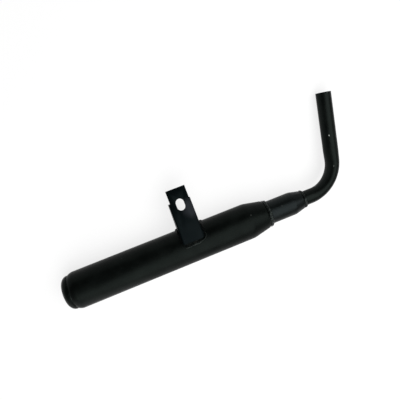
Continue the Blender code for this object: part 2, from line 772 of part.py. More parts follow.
def main():
    clear_scene()
    assembly = add_empty("assembly")
    assembly.rotation_euler.x = -resting_roll()
    build_shell(assembly)
    build_tail_cap(assembly)
    build_expansion_tube(assembly)
    build_header(assembly)
    build_inside(assembly)
    bracket_frame = add_empty("bracket_frame", assembly)
    bracket_frame.location.x = BRACKET_X
    bracket_frame.rotation_euler.x = BRACKET_ROLL
    build_bracket(bracket_frame)
    build_bracket_beads(bracket_frame)
    centre_on_floor(assembly)


main()
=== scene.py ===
"""The looks of a racing exhaust: turned and bent tubes, a folded bracket, weld beads and their finishes.

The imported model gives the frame. Each sub-assembly is a class whose fields are its sizes in metres. It builds
its pieces on the exhaust's own design lines (X along the silencer from its tail, Y towards the bend, Z up out
of the bend's plane), and the placement then turns them into the frame.
"""

import json
import logging
from collections.abc import Callable
from dataclasses import dataclass, replace
from enum import Enum
from math import asin, atan2, cos, pi, radians, sin, sqrt, tan
from typing import Protocol

import bmesh
import bpy
from bmesh.types import BMEdge, BMesh, BMVert
from mathutils import Matrix, Vector, noise

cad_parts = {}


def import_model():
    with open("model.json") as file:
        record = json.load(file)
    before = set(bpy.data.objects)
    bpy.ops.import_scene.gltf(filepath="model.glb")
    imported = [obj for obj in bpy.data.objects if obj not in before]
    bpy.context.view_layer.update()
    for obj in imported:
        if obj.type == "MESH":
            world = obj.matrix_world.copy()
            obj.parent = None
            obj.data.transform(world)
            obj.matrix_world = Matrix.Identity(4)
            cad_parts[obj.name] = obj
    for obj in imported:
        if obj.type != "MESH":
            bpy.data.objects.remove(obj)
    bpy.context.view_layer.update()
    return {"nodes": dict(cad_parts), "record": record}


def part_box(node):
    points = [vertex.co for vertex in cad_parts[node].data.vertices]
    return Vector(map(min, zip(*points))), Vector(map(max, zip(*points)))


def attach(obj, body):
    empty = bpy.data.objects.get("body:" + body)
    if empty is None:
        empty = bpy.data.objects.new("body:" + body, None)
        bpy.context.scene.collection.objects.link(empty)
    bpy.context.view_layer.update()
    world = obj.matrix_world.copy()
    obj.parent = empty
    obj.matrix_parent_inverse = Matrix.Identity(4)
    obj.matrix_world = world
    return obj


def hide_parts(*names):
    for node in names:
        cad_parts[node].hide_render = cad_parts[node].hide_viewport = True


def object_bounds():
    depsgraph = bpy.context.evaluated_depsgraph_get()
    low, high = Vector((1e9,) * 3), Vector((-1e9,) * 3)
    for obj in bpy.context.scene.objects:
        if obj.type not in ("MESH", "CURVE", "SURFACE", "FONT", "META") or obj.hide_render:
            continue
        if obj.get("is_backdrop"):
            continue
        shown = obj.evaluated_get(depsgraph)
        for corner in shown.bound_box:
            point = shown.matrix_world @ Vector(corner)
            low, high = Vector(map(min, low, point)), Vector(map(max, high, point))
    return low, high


LOG = logging.getLogger("exhaust")
MM = 0.001
FIT_GAP = 0.3 * MM
MERGE_DISTANCE = 0.002 * MM
SHARP_ANGLE = radians(35)  # past which an edge is rounded
FLAT_ANGLE = radians(0.4)  # within which faces are one
MIX_INPUTS = (0, 6, 7)  # a Mix node's share and two colours, whose names its other kinds use too
MIX_RESULT = 2

Colour = tuple[float, float, float]
Place = tuple[float, float, float]
Socket = bpy.types.NodeSocket
Value = Socket | float | tuple[float, ...]


class Slot(Enum):
    """The record's material slots, named for each new piece."""

    BLACK_PAINT = "black_paint"
    PAINTED_WELD = "painted_weld"


# ---------------------------------------------------------------- node trees


class NodeSheet:
    """A node tree, with short ways to add nodes to it and join them."""

    def __init__(self, tree: bpy.types.NodeTree) -> None:
        """Empties the tree.

        Args:
            tree: The tree to fill.
        """
        self.nodes = tree.nodes
        self.links = tree.links
        self.nodes.clear()

    def add(self, kind: str, settings: dict[str, str] | None = None, **inputs: Value) -> bpy.types.Node:
        """Adds a node.

        Args:
            kind: The node's type, without its ShaderNode prefix.
            settings: Properties of the node itself.
            inputs: Values or sockets for its inputs, by name with underscores for spaces.

        Returns:
            The new node.
        """
        node = self.nodes.new("ShaderNode" + kind)
        for name, value in (settings or {}).items():
            setattr(node, name, value)
        for name, value in inputs.items():
            self.join(node.inputs[name.replace("_", " ")], value)
        return node

    def join(self, target: Socket, value: Value) -> None:
        """Links a socket to an input, or sets the input's value.

        Args:
            target: The input.
            value: The socket or the value.
        """
        if isinstance(value, Socket):
            self.links.new(value, target)
        else:
            target.default_value = value

    def spread(self, value: Value, low: float, high: float, start: float = 0.0, end: float = 1.0) -> Socket:
        """Stretches a value from one range to another with soft ends, and clamps it there.

        Args:
            value: The value.
            low: Where the first range starts.
            high: Where it ends.
            start: What the low end becomes.
            end: What the high end becomes.

        Returns:
            The socket with the new value.
        """
        soft = {"interpolation_type": "SMOOTHSTEP"}
        node = self.add("MapRange", soft, Value=value, From_Min=low, From_Max=high, To_Min=start, To_Max=end)
        return node.outputs["Result"]

    def combine(self, first: Value, second: Value, operation: str = "ADD") -> Socket:
        """Two values joined by a sum or another operation.

        Args:
            first: The first value.
            second: The second value.
            operation: The Math node's name for it.

        Returns:
            The socket with the result.
        """
        node = self.add("Math", {"operation": operation})
        self.join(node.inputs[0], first)
        self.join(node.inputs[1], second)
        return node.outputs["Value"]

    def tint(self, share: Socket, first: Socket | Colour, second: Socket | Colour) -> Socket:
        """Mixes one colour towards another.

        Args:
            share: The second colour's share.
            first: The first colour.
            second: The second colour.

        Returns:
            The socket with the mixed colour.
        """
        node = self.add("Mix", {"data_type": "RGBA"})
        for index, value in zip(MIX_INPUTS, (share, first, second)):
            if isinstance(value, tuple):
                value = (*value, 1.0)
            self.join(node.inputs[index], value)
        return node.outputs[MIX_RESULT]


class SurfaceSheet(NodeSheet):
    """A material's nodes, round one surface shader, with patterns on the object's own coordinates."""

    def __init__(self, name: str) -> None:
        """Starts the material with its shader alone.

        Args:
            name: The material's name.
        """
        self.material = bpy.data.materials.new(name)
        self.material.use_nodes = True
        super().__init__(self.material.node_tree)
        self.shader = self.add("BsdfPrincipled")
        self.output = self.add("OutputMaterial", Surface=self.shader.outputs["BSDF"])
        self.place = self.add("TexCoord").outputs["Object"]

    def stretched(self, scale: Place, turn: float = 0.0) -> Socket:
        """The place, turned about X and stretched."""
        turned = self.add("Mapping", Vector=self.place, Rotation=(turn, 0.0, 0.0)).outputs["Vector"]
        return self.add("Mapping", Vector=turned, Scale=scale).outputs["Vector"]

    def noise(self, size: float, detail: float, place: Socket | None = None) -> Socket:
        """Noise from 0 to 1, with features of about one size.

        Args:
            size: The size of the largest features, in metres.
            detail: The number of finer layers.
            place: The coordinates to read, if not the object's own.

        Returns:
            The socket with its value.
        """
        node = self.add("TexNoise", Vector=place or self.place, Scale=1.0 / size, Detail=detail)
        return node.outputs["Fac"]

    def shade(self, **inputs: Value) -> None:
        """Sets or links the shader's inputs.

        Args:
            inputs: Values or sockets, by the input's name with underscores for spaces.
        """
        for name, value in inputs.items():
            if isinstance(value, tuple):
                value = (*value, 1.0)
            self.join(self.shader.inputs[name.replace("_", " ")], value)

    def bumps(self, *layers: tuple[Socket, float]) -> None:
        """Lays bumps over one another on the shader.

        Args:
            layers: Pairs of a height socket and the height of its full range, in metres.
        """
        normal = None
        for height, depth in layers:
            node = self.add("Bump", Height=height, Distance=depth, Strength=1.0)
            if normal:
                self.join(node.inputs["Normal"], normal)
            normal = node.outputs["Normal"]
        self.join(self.shader.inputs["Normal"], normal)


# ---------------------------------------------------------------- finishes


class Finish(Protocol):
    """What a piece can be given: something that makes its own material."""

    def material(self) -> bpy.types.Material:
        """Makes the material."""


@dataclass(frozen=True)
class ChipOrPaintedHighlight:
    """A spot where the paint is knocked or rubbed thin, or a faint lighter patch that is painted highlight."""

    place: Place
    radius: float
    depth: float  # 1 where the metal shows in full, or the painted highlight is at full strength


@dataclass(frozen=True)
class BlackPaint:
    """Matt heat-resistant black paint, sprayed thin, with slow mottling, dust, a few knocked spots, and where
    given a faint lighter patch of painted highlight.
    """

    name: str
    deep: Colour = (0.0017, 0.0022, 0.0020)
    dull: Colour = (0.0032, 0.0041, 0.0037)
    sheen_tint: Colour = (0.80, 1.0, 0.91)
    # The spots' colour: the metal where the paint is knocked off, or the colour of a painted highlight.
    bare: Colour = (0.33, 0.35, 0.33)
    dust: Colour = (0.06, 0.065, 0.06)
    dust_cover: float = 0.55
    dust_spacing: float = 5.5 * MM
    gloss: float = 0.053
    smooth: float = 0.30
    rough: float = 0.40
    mottle_size: float = 22.0 * MM
    haze_size: float = 70.0 * MM
    wave_size: float = 14.0 * MM
    wave_height: float = 0.048 * MM
    peel_size: float = 1.3 * MM
    peel_height: float = 0.012 * MM
    ragged_size: float = 0.9 * MM
    ragged: float = 0.35 * MM  # how far a spot's edge strays
    spot_core: float = 0.35  # share of a spot's radius that is at its full depth
    chips_or_painted_highlights: tuple[ChipOrPaintedHighlight, ...] = ()

    def material(self) -> bpy.types.Material:
        """Makes the material.

        Returns:
            The material.
        """
        sheet = SurfaceSheet(self.name)
        mottle = sheet.spread(sheet.noise(self.mottle_size, 4.0), 0.35, 0.7)
        colour = sheet.tint(mottle, self.deep, self.dull)
        colour = sheet.tint(self.dust_share(sheet), colour, self.dust)
        # Knocked spots show the metal; a patch of painted highlight lightens the paint.
        if self.chips_or_painted_highlights:
            colour = sheet.tint(self.bare_or_highlight_share(sheet), colour, self.bare)
        haze = sheet.noise(self.haze_size, 2.0)
        sheet.shade(
            Base_Color=colour,
            Roughness=sheet.spread(haze, 0.3, 0.7, self.smooth, self.rough),
            Specular_IOR_Level=self.gloss,
            Specular_Tint=self.sheen_tint,
        )
        wave = sheet.noise(self.wave_size, 1.0)
        peel = sheet.noise(self.peel_size, 2.0)
        sheet.bumps((wave, self.wave_height), (peel, self.peel_height))
        return sheet.material

    def dust_share(self, sheet: SurfaceSheet) -> Socket:
        """The share of dust: a small speck in the odd cell of a cellular pattern.

        Args:
            sheet: The material's nodes.

        Returns:
            The socket with the share.
        """
        cells = sheet.add("TexVoronoi", Vector=sheet.place, Scale=1.0 / self.dust_spacing)
        speck = sheet.spread(cells.outputs["Distance"], 0.055, 0.03)
        chance = sheet.add("SeparateColor", Color=cells.outputs["Color"]).outputs["Red"]
        share = sheet.combine(speck, sheet.spread(chance, 0.80, 0.86), "MULTIPLY")
        return sheet.combine(share, self.dust_cover, "MULTIPLY")

    def bare_or_highlight_share(self, sheet: SurfaceSheet) -> Socket:
        """The share of the spots' colour, the metal or a painted highlight: full in the middle of a deep spot,
        with a ragged edge.

        Args:
            sheet: The material's nodes.

        Returns:
            The socket with the share.
        """
        ragged = sheet.spread(sheet.noise(self.ragged_size, 2.0), 0.3, 0.7, -self.ragged, self.ragged)
        bare = None
        for spot_or_highlight in self.chips_or_painted_highlights:
            gap = sheet.add("VectorMath", {"operation": "DISTANCE"})
            sheet.join(gap.inputs[0], sheet.place)
            sheet.join(gap.inputs[1], spot_or_highlight.place)
            edge = sheet.combine(gap.outputs["Value"], ragged)
            spot = sheet.spread(edge, spot_or_highlight.radius, spot_or_highlight.radius * self.spot_core, 0.0, spot_or_highlight.depth)
            bare = spot if bare is None else sheet.combine(bare, spot, "MAXIMUM")
        return bare


@dataclass(frozen=True)
class PaintedWeld:
    """The same paint over weld metal: it lies thicker and glossier, over a fine scale."""

    name: str
    colour: Colour = (0.0022, 0.0030, 0.0028)
    # The patches' colour: wear, made lighter or darker on the bracket's beads as painted highlight or shade.
    worn_or_painted_light: Colour = (0.0060, 0.0072, 0.0068)
    sheen_tint: Colour = (0.84, 1.0, 0.94)
    gloss: float = 0.12
    smooth: float = 0.22
    rough: float = 0.38
    patch_size: float = 5.0 * MM
    haze_size: float = 3.0 * MM
    grit_size: float = 1.6 * MM
    grit_height: float = 0.05 * MM
    scale_size: float = 0.45 * MM
    scale_height: float = 0.015 * MM

    def material(self) -> bpy.types.Material:
        """Makes the material.

        Returns:
            The material.
        """
        sheet = SurfaceSheet(self.name)
        patches = sheet.spread(sheet.noise(self.patch_size, 3.0), 0.45, 0.75)
        haze = sheet.noise(self.haze_size, 3.0)
        sheet.shade(
            Base_Color=sheet.tint(patches, self.colour, self.worn_or_painted_light),
            Roughness=sheet.spread(haze, 0.35, 0.65, self.smooth, self.rough),
            Specular_IOR_Level=self.gloss,
            Specular_Tint=self.sheen_tint,
        )
        grit = sheet.noise(self.grit_size, 3.0)
        scale = sheet.noise(self.scale_size, 2.0)
        sheet.bumps((grit, self.grit_height), (scale, self.scale_height))
        return sheet.material


@dataclass(frozen=True)
class SootedSteel:
    """The bare inside of a tube: rolled steel under a film of soot and brown heat tint."""

    name: str
    soot: Colour = (0.010, 0.009, 0.008)
    steel: Colour = (0.085, 0.070, 0.055)
    film_size: float = 9.0 * MM
    grit_size: float = 1.1 * MM
    grit_height: float = 0.03 * MM

    def material(self) -> bpy.types.Material:
        """Makes the material.

        Returns:
            The material.
        """
        sheet = SurfaceSheet(self.name)
        film = sheet.noise(self.film_size, 5.0)
        sheet.shade(
            Base_Color=sheet.tint(sheet.spread(film, 0.42, 0.7), self.soot, self.steel),
            Metallic=sheet.spread(film, 0.45, 0.7, 0.1, 0.6),
            Roughness=sheet.spread(film, 0.3, 0.7, 0.7, 0.45),
            Specular_IOR_Level=0.25,
        )
        sheet.bumps((sheet.noise(self.grit_size, 3.0), self.grit_height))
        return sheet.material


@dataclass(frozen=True)
class BrushedSteel:
    """Bare rolled steel sheet with its grain along the silencer, and some heat tint."""

    name: str
    roll: float  # of the design lines about the silencer's axis
    bright: Colour = (0.46, 0.46, 0.45)
    heated: Colour = (0.36, 0.30, 0.22)
    scratch: Colour = (0.2, 0.2, 0.2)
    grain_size: float = 0.5 * MM
    grain_stretch: float = 0.04
    grain_height: float = 0.012 * MM
    heat_size: float = 45.0 * MM
    dent_size: float = 11.0 * MM
    dent_height: float = 0.04 * MM

    def material(self) -> bpy.types.Material:
        """Makes the material.

        Returns:
            The material.
        """
        sheet = SurfaceSheet(self.name)
        along = sheet.stretched((self.grain_stretch, 1.0, 1.0), -self.roll)
        grain = sheet.noise(self.grain_size, 4.0, along)
        heat = sheet.spread(sheet.noise(self.heat_size, 2.0), 0.45, 0.75)
        colour = sheet.tint(heat, self.bright, self.heated)
        colour = sheet.tint(sheet.spread(grain, 0.3, 0.8, 0.0, 0.3), colour, self.scratch)
        sheet.shade(Base_Color=colour, Metallic=1.0, Roughness=sheet.spread(grain, 0.3, 0.7, 0.3, 0.46))
        dents = sheet.noise(self.dent_size, 2.0)
        sheet.bumps((grain, self.grain_height), (dents, self.dent_height))
        return sheet.material


@dataclass(frozen=True)
class SteelWool:
    """Long curled steel shavings, wound round the core."""

    name: str
    # The colour between the strands: painted shade in the gaps of the tangle.
    gap: Colour = (0.05, 0.05, 0.052)
    bright: Colour = (0.42, 0.42, 0.43)
    heated: Colour = (0.16, 0.12, 0.09)
    strand: float = 0.6 * MM
    strand_stretch: float = 0.15
    strand_height: float = 0.2 * MM
    curl_height: float = 0.5 * MM
    tangle_size: float = 9.0 * MM

    def material(self) -> bpy.types.Material:
        """Makes the material.

        Returns:
            The material.
        """
        sheet = SurfaceSheet(self.name)
        tangle = sheet.noise(self.tangle_size, 2.0)
        curls = sheet.add(
            "TexWave",
            {"wave_type": "BANDS", "bands_direction": "DIAGONAL"},
            Vector=sheet.place,
            Scale=0.3 / self.strand,
            Distortion=14.0,
            Detail=4.0,
            Detail_Scale=1.4,
        ).outputs["Fac"]
        fine = sheet.noise(self.strand, 4.0, sheet.stretched((self.strand_stretch, 1.0, 1.0)))
        thread = sheet.combine(curls, fine, "MULTIPLY")
        # Darker where the strands are low: painted shade between them.
        colour = sheet.tint(sheet.spread(thread, 0.05, 0.5), self.gap, self.bright)
        colour = sheet.tint(sheet.spread(tangle, 0.5, 0.8, 0.0, 0.5), colour, self.heated)
        sheet.shade(Base_Color=colour, Metallic=0.8, Roughness=sheet.spread(thread, 0.1, 0.6, 0.75, 0.4))
        sheet.bumps((thread, self.curl_height), (fine, self.strand_height))
        return sheet.material


@dataclass(frozen=True)
class GlassFibre:
    """Needled glass-fibre mat: pale, fluffy, with stray fibres."""

    name: str
    pale: Colour = (0.80, 0.77, 0.62)
    shade: Colour = (0.50, 0.46, 0.32)
    fibre_size: float = 1.2 * MM
    fibre_stretch: float = 0.18
    fibre_turn: float = radians(20)
    fibre_height: float = 0.35 * MM
    tuft_size: float = 7.0 * MM
    tuft_height: float = 0.9 * MM

    def material(self) -> bpy.types.Material:
        """Makes the material.

        Returns:
            The material.
        """
        sheet = SurfaceSheet(self.name)
        along = sheet.stretched((self.fibre_stretch, 1.0, 1.0), self.fibre_turn)
        fibres = sheet.noise(self.fibre_size, 5.0, along)
        tufts = sheet.noise(self.tuft_size, 4.0)
        mean = sheet.combine(sheet.combine(fibres, tufts), 0.5, "MULTIPLY")
        colour = sheet.tint(sheet.spread(mean, 0.35, 0.6), self.shade, self.pale)
        sheet.shade(Base_Color=colour, Roughness=0.95, Specular_IOR_Level=0.15)
        sheet.shade(Sheen_Weight=0.3, Sheen_Roughness=0.6)
        sheet.bumps((tufts, self.tuft_height), (fibres, self.fibre_height))
        return sheet.material


# ---------------------------------------------------------------- placing and making


@dataclass(frozen=True)
class Placement:
    """Where the exhaust's design lines lie in the frame."""

    tail: Vector  # the silencer's axis at the shell's tail edge
    roll: float  # of the bend's plane about that axis

    @classmethod
    def from_frame(cls, record: dict) -> "Placement":
        """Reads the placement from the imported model.

        Args:
            record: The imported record, whose inlet mount faces along the header.

        Returns:
            The placement.
        """
        low, high = (Vector(corner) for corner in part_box("silencer_shell"))
        middle = (low + high) / 2
        axis = next(mount["axis"] for mount in record["mounts"] if mount["name"] == "inlet_face")
        return cls(Vector((low.x, middle.y, middle.z)), atan2(axis[2], axis[1]))

    def matrix(self) -> Matrix:
        """From design lines to the frame."""
        return Matrix.Translation(self.tail) @ Matrix.Rotation(self.roll, 4, "X")


def finished_mesh(name: str, bm: BMesh) -> bpy.types.Mesh:
    """Turns a bmesh into a mesh, and frees it.

    Args:
        name: The mesh's name.
        bm: The bmesh.

    Returns:
        The mesh.
    """
    mesh = bpy.data.meshes.new(name)
    bm.to_mesh(mesh)
    bm.free()
    return mesh


def link_object(name: str, data: bpy.types.ID) -> bpy.types.Object:
    """Makes an object of a mesh, a lamp or a camera, and links it to the scene.

    Args:
        name: The object's name.
        data: What it shows.

    Returns:
        The object.
    """
    obj = bpy.data.objects.new(name, data)
    bpy.context.scene.collection.objects.link(obj)
    return obj


def round_edges(obj: bpy.types.Object, width: float) -> None:
    """Rounds a piece's sharp edges.

    Args:
        obj: The piece.
        width: The width of the rounding.
    """
    bevel = obj.modifiers.new("broken_edges", "BEVEL")
    bevel.width = width
    bevel.segments = 2
    bevel.limit_method = "ANGLE"
    bevel.angle_limit = SHARP_ANGLE
    bevel.harden_normals = True


class Workshop:
    """Finishes each mesh as a piece: its place, shading, material, body and the node it stands for."""

    def __init__(self, placement: Placement) -> None:
        """Opens the workshop.

        Args:
            placement: Where the design lines lie.
        """
        self.placement = placement
        self.materials: dict[Finish, bpy.types.Material] = {}

    def material(self, finish: Finish) -> bpy.types.Material:
        """The finish's material, made once.

        Args:
            finish: The finish.

        Returns:
            Its material.
        """
        if finish not in self.materials:
            self.materials[finish] = finish.material()
        return self.materials[finish]

    def with_chips_or_painted_highlights(
        self, finish: BlackPaint, chips_or_painted_highlights: tuple[ChipOrPaintedHighlight, ...], within: Matrix | None = None
    ) -> BlackPaint:
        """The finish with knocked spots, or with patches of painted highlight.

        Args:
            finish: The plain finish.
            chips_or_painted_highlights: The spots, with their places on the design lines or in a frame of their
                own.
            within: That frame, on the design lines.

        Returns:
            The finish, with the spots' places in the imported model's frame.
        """
        matrix = self.placement.matrix() @ (within or Matrix())
        placed = tuple(replace(spot_or_highlight, place=tuple(matrix @ Vector(spot_or_highlight.place))) for spot_or_highlight in chips_or_painted_highlights)
        return replace(finish, chips_or_painted_highlights=placed)

    def piece(
        self,
        name: str,
        bm: BMesh,
        finishes: tuple[Finish, ...],
        slot: Slot,
        node: str,
        within: Matrix | None = None,
    ) -> bpy.types.Object:
        """Turns a finished bmesh into a piece.

        Args:
            name: The piece's name.
            bm: The mesh, on the design lines or in a frame of its own. It is freed.
            finishes: Its finishes, in the order of its material indices.
            slot: The record's slot for the piece's finish. It is not used.
            node: The CAD node that it stands for.
            within: The mesh's own frame, on the design lines.

        Returns:
            The piece.
        """
        bm.transform(self.placement.matrix() @ (within or Matrix()))
        mesh = finished_mesh(name, bm)
        mesh.shade_smooth()
        for finish in finishes:
            mesh.materials.append(self.material(finish))
        obj = link_object(name, mesh)
        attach(obj, "root")
        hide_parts(node)
        LOG.info("%s stands for %s with %d faces", name, node, len(mesh.polygons))
        return obj

    def sheet_piece(
        self, name: str, bm: BMesh, finish: BlackPaint, node: str, sheet: float, edge: float
    ) -> None:
        """Turns a skin into a tube of sheet, painted outside and sooted inside.

        Args:
            name: The piece's name.
            bm: The outer skin on the design lines. It is freed.
            finish: The finish outside.
            node: The CAD node that it stands for.
            sheet: The sheet's thickness, inwards from the skin.
            edge: The width of its edges' rounding.
        """
        obj = self.piece(name, bm, (finish, SootedSteel("sooted_bore")), Slot.BLACK_PAINT, node)
        solid = obj.modifiers.new("sheet", "SOLIDIFY")
        solid.thickness = sheet
        solid.offset = -1.0
        solid.use_even_offset = True
        solid.material_offset = 1
        round_edges(obj, edge)

    def dress(self, node: bpy.types.Object, finish: Finish) -> None:
        """Gives a CAD node that stays its finish.

        Args:
            node: The node.
            finish: The finish.
        """
        material = self.material(finish)
        if not node.material_slots:
            node.data.materials.append(material)
        for place in node.material_slots:
            place.material = material
        LOG.info("%s keeps its CAD shape, in %s", node.name, material.name)


@dataclass(frozen=True)
class Corner:
    """A corner of a turned profile: its place along and out from the axis, and its rounding."""

    x: float
    out: float
    radius: float = 0.0


def draw_profile(corners: list[Corner], segments: int = 10) -> BMesh:
    """Draws a profile as a line of edges, and rounds its corners.

    Args:
        corners: The profile's corners, in order.
        segments: The segments in each rounding.

    Returns:
        The mesh with the line.
    """
    bm = bmesh.new()
    verts = [bm.verts.new((corner.x, corner.out, 0.0)) for corner in corners]
    for first, second in zip(verts, verts[1:]):
        bm.edges.new((first, second))
    rounding = []
    for i, corner in enumerate(corners):
        if corner.radius:
            into = verts[i].co - verts[i - 1].co
            turn = into.angle(verts[i + 1].co - verts[i].co)
            rounding.append((verts[i], corner.radius * tan(turn / 2)))
    for vert, reach in rounding:
        bmesh.ops.bevel(
            bm,
            geom=[vert],
            offset=reach,
            offset_type="OFFSET",
            segments=segments,
            profile=0.5,
            affect="VERTICES",
            material=-1,
        )
    return bm


def turn_profile(bm: BMesh, steps: int) -> None:
    """Spins what is drawn all the way round the X axis, and points its faces outwards.

    Args:
        bm: The mesh with the profile.
        steps: The steps in the full turn.
    """
    bmesh.ops.spin(
        bm,
        geom=bm.verts[:] + bm.edges[:],
        cent=(0, 0, 0),
        axis=(1, 0, 0),
        angle=2 * pi,
        steps=steps,
        use_merge=True,
    )
    bmesh.ops.remove_doubles(bm, verts=bm.verts, dist=MERGE_DISTANCE)
    bmesh.ops.recalc_face_normals(bm, faces=bm.faces)
    widest = max(bm.faces, key=lambda face: Vector(face.calc_center_median()[1:]).length)
    centre = widest.calc_center_median()
    if widest.normal.dot(Vector((0.0, centre.y, centre.z))) < 0:
        bmesh.ops.reverse_faces(bm, faces=bm.faces)


def roll_corner(start: Corner, end: Corner, radius: float) -> Corner:
    """Where a cone's line, carried on past its end, meets the plane that its rolled nose ends in.

    Args:
        start: The cone's start.
        end: The end of the cone's straight line, where the roll begins.
        radius: The roll's radius.

    Returns:
        The corner, with that radius.
    """
    slope = atan2(start.out - end.out, end.x - start.x)
    reach = radius * (1 - sin(slope))
    return Corner(end.x + reach, end.out - reach * tan(slope), radius)


# ---------------------------------------------------------------- weld beads

WANDER_START = Vector((7.1, 3.3, 0.0))  # in the noise, away from the lumps' own place


@dataclass(frozen=True)
class WeldStyle:
    """How a bead is laid: its ripples, its lumps and the shape of its crown."""

    pitch: float = 2.7 * MM
    ripple: float = 0.16 * MM
    lump: float = 0.55 * MM
    lump_length: float = 6.5 * MM
    lump_turn: float = 1.6  # how fast the lumps change across the bead
    crescent: float = 0.55  # of a ripple's pitch, by which its ends run on past its middle
    wander: float = 0.8  # of the pitch, by which ripples stray
    wander_rate: float = 0.7  # of the lumps' own rate
    steepness: float = 0.7  # of the ripples' front, 0 where both sides are alike
    peak: float = 0.7  # below 1 for a full crown, above 1 for a narrow crest
    skew: float = 1.0  # above 1 for a crest nearer the front toe
    seed: float = 0.0


Section = tuple[Vector, Vector, Vector, float]  # back toe, root, front toe and bulge
Seat = Callable[[float], Section]


@dataclass(frozen=True)
class Bead:
    """A weld bead as a skin between two toes, closed under its root."""

    style: WeldStyle
    seat: Seat  # the section at a share of the length
    length: float
    closed: bool
    across: int = 16
    under: int = 4
    ripple_steps: int = 8
    fewest_ripples: int = 6
    end_length: float = 4.0 * MM

    def mesh(self) -> BMesh:
        """Makes the bead from a grid whose rows run along it.

        Returns:
            The closed mesh.
        """
        ripples = max(self.fewest_ripples, round(self.length / self.style.pitch))
        rows = self.across + self.under
        bm = bmesh.new()
        bmesh.ops.create_grid(bm, x_segments=ripples * self.ripple_steps, y_segments=rows, size=1.0)
        for vert in bm.verts:
            share = (vert.co.x + 1) / 2
            row = round((vert.co.y + 1) / 2 * rows)
            vert.co = self.surface(share, row, ripples)
        bmesh.ops.remove_doubles(bm, verts=bm.verts, dist=MERGE_DISTANCE)
        bmesh.ops.recalc_face_normals(bm, faces=bm.faces)
        return bm

    def surface(self, share: float, row: int, ripples: int) -> Vector:
        """A point of the bead.

        Args:
            share: How far along the bead, from 0 to 1.
            row: The row across: the crown's first, then those under the bead.
            ripples: The number of ripples along it.

        Returns:
            The point.
        """
        back, root, front, bulge = self.seat(share)
        size = 1.0
        if not self.closed:
            near = min(1.0, min(share, 1 - share) * self.length / self.end_length)
            size = sqrt(near * (2 - near))
        if row >= self.across:
            down = (row - self.across) / (self.under / 2)
            point = front.lerp(root, down) if down <= 1 else root.lerp(back, down - 1)
            return root.lerp(point, size)
        t = row / self.across
        chord = back.lerp(front, t)
        away = (back + front) / 2 - root
        across = (front - back).normalized()
        away -= across * away.dot(across)
        leaning = t**self.style.skew
        crown = (4 * leaning * (1 - leaning)) ** self.style.peak
        height = bulge + self.relief(share, t, ripples)
        return root.lerp(chord, size) + away.normalized() * height * crown * size

    def relief(self, share: float, t: float, ripples: int) -> float:
        """The height that ripples and lumps add to the crown.

        Args:
            share: How far along the bead.
            t: How far across it, from the back toe to the front.
            ripples: The number of ripples along it.

        Returns:
            The height.
        """
        style = self.style
        if self.closed:
            reach = self.length / (2 * pi) / style.lump_length
            around = Vector((cos(2 * pi * share) * reach, sin(2 * pi * share) * reach, style.seed))
        else:
            around = Vector((share * self.length / style.lump_length, style.seed, 0.0))
        stray = style.wander * noise.noise(around * style.wander_rate + WANDER_START)
        phase = 2 * pi * (share * ripples - style.crescent * (2 * t - 1) ** 2 + stray)
        ripple = sin(phase + style.steepness * sin(phase))
        lump = noise.noise(around + Vector((0.0, 0.0, style.lump_turn * t)))
        return style.ripple * ripple + style.lump * lump


def ring_seat(back: Corner, root: Corner, front: Corner, bulge: float, lift: float = 0.0) -> Seat:
    """The seat of a bead that runs round the axis between two toes.

    Args:
        back: The back toe.
        root: The root in the corner or groove.
        front: The front toe.
        bulge: The mean height of the crown over the toes.
        lift: How much higher it is on the side towards the bend, and lower on the other.

    Returns:
        The seat.
    """

    def seat(share: float) -> Section:
        """The section at one place.

        Args:
            share: The share of the turn.

        Returns:
            The section.
        """
        turn = 2 * pi * share
        places = [Vector((c.x, c.out * cos(turn), c.out * sin(turn))) for c in (back, root, front)]
        return (*places, bulge + lift * cos(turn))

    return seat


@dataclass(frozen=True)
class CornerWeld:
    """The bead in the corner where a tube comes out of a larger one's rolled nose."""

    leg: float  # along the tube
    rise: float  # up the nose
    bulge: float
    style: WeldStyle
    paint: PaintedWeld
    back: float = 0.1 * MM  # of the back toe, behind the nose
    sink: float = 0.1 * MM  # of the front toe, under the tube's surface

    def bead(self, nose: float, radius: float) -> Bead:
        """The bead.

        Args:
            nose: The X of the larger tube's nose.
            radius: The smaller tube's radius.

        Returns:
            The bead.
        """
        floor = radius + FIT_GAP / 2
        back = Corner(nose - self.back, floor + self.rise)
        root = Corner(nose + FIT_GAP, floor)
        front = Corner(nose + self.leg, floor - self.sink)
        return Bead(self.style, ring_seat(back, root, front, self.bulge), 2 * pi * radius, closed=True)


# ---------------------------------------------------------------- silencer


